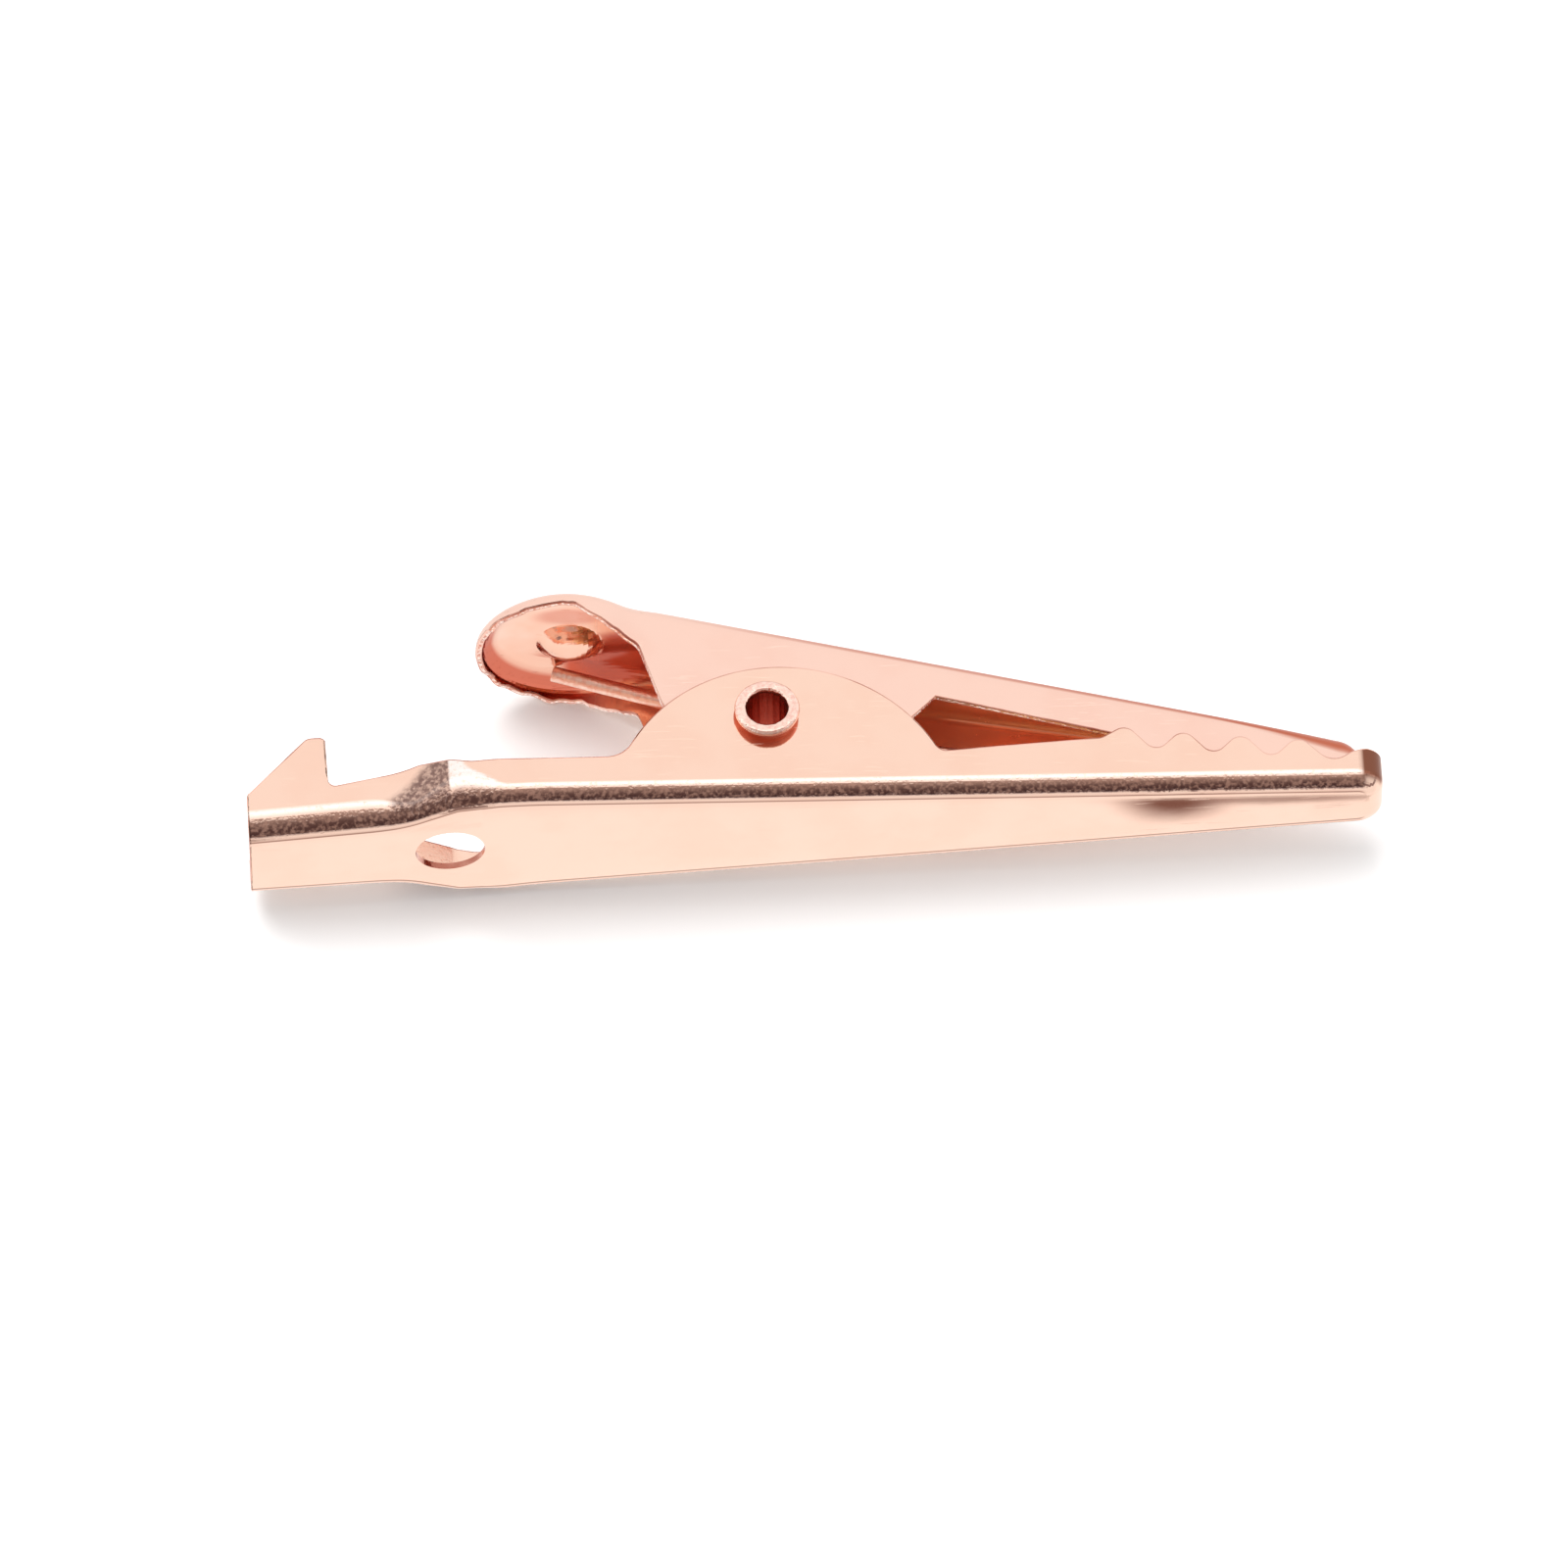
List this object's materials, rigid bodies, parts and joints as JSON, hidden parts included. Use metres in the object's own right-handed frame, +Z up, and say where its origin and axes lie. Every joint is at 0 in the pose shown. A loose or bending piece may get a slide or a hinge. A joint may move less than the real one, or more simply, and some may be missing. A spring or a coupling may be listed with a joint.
{
  "type": "crocodile clip",
  "caption": "Small copper-plated crocodile clip: a toothed channel jaw with a barbed wire tail, a nested sprung jaw with a dimpled thumb cup, and a hollow rivet pivot.",
  "frame": {"origin": "centre of the underside of the clip's box as it lies on its side", "axes": "+X along the clip from the wire tail to the jaw tips, +Y from the lower jaw to the upper jaw, +Z up, across the clip and along the rivet"},
  "size_m": [0.03, 0.0068, 0.005],
  "materials": {
    "copper_plate": "bright copper plate",
    "copper_plate_upper": "bright copper plate",
    "copper_plate_rivet": "bright copper plate, rolled edge",
    "copper_plate_wire": "bright copper plate on spring wire"
  },
  "bodies": {
    "lower_jaw_body": {"lower_jaw": "copper_plate", "pivot_rivet": "copper_plate_rivet", "torsion_spring": "copper_plate_wire"},
    "upper_jaw_body": {"upper_jaw": "copper_plate_upper"}
  },
  "joints": [
    {"name": "jaw_hinge", "type": "hinge", "parent": "lower_jaw_body", "child": "upper_jaw_body", "pos_m": [-0.00115, -0.00064, 0.0025], "axis": [0, 0, 1], "range_deg": [0, 32], "stiffness_Nm_per_rad": 0.05, "springref_deg": -0.29, "deforming": ["torsion_spring"]}
  ]
}
